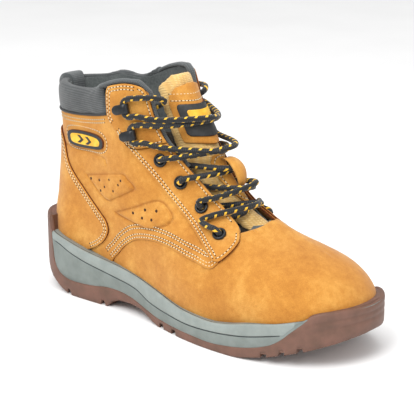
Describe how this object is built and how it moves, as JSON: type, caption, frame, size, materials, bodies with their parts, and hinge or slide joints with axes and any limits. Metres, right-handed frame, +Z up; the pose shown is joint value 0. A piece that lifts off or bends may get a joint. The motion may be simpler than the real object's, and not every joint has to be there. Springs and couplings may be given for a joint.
{
  "type": "safety work boot",
  "caption": "Right ankle-high safety work boot: laced nubuck upper, padded knit collar and tongue, steel toecap, foam midsole and lugged rubber outsole.",
  "frame": {"origin": "on the ground under the middle of the heel tread", "axes": "+X towards the toe, +Y towards the inner (medial) side, +Z up"},
  "size_m": [0.307, 0.11, 0.1905],
  "materials": {
    "nubuck": "tan nubuck with beige stitching and dark cut edges",
    "collar_knit": "dark grey ribbed knit",
    "tongue_fabric": "light tan padded knit",
    "lining": "smooth grey mesh",
    "foam": "open foam, hidden",
    "board": "fibre board, hidden",
    "footbed": "moulded foam with a fabric top",
    "midsole": "moulded grey foam",
    "outsole": "gum-brown rubber",
    "steel": "pressed steel, hidden",
    "black_hardware": "black coated metal",
    "lace": "round black braid with yellow flecks",
    "black_rubber": "moulded black rubber",
    "yellow_mark": "printed yellow"
  },
  "bodies": {
    "boot": {"aglet_lateral": "black_hardware", "aglet_medial": "black_hardware", "collar": "collar_knit", "collar_foam": "foam", "eyelet_lateral_1": "black_hardware", "eyelet_lateral_2": "black_hardware", "eyelet_lateral_3": "black_hardware", "eyelet_lateral_4": "black_hardware", "eyelet_medial_1": "black_hardware", "eyelet_medial_2": "black_hardware", "eyelet_medial_3": "black_hardware", "eyelet_medial_4": "black_hardware", "eyestay_lateral": "nubuck", "eyestay_medial": "nubuck", "facing_binding_lateral": "collar_knit", "facing_binding_medial": "collar_knit", "footbed": "footbed", "heel_counter": "board", "heel_panel": "nubuck", "heel_pull_tab": "collar_knit", "hook_lateral_1": "black_hardware", "hook_lateral_2": "black_hardware", "hook_medial_1": "black_hardware", "hook_medial_2": "black_hardware", "hook_panel_lateral": "nubuck", "hook_panel_medial": "nubuck", "insole_board": "board", "lace": "lace", "lace_keeper": "nubuck", "midsole": "midsole", "outsole": "outsole", "quarter_lateral": "nubuck", "quarter_medial": "nubuck", "shaft_lining": "lining", "shank": "steel", "side_badge": "black_rubber", "side_badge_mark": "yellow_mark", "steel_toecap": "steel", "toecap_edge_strip": "foam", "tongue_base": "tongue_fabric", "vamp": "nubuck", "vamp_lining": "lining"},
    "tongue": {"tongue_flap": "tongue_fabric", "tongue_panel": "nubuck", "tongue_label": "black_rubber", "tongue_label_mark": "yellow_mark"}
  },
  "joints": [
    {"name": "tongue_fold", "type": "hinge", "parent": "boot", "child": "tongue", "pos_m": [0.101, 0, 0.137], "axis": [0, -1, 0], "range_deg": [0, 15]}
  ]
}
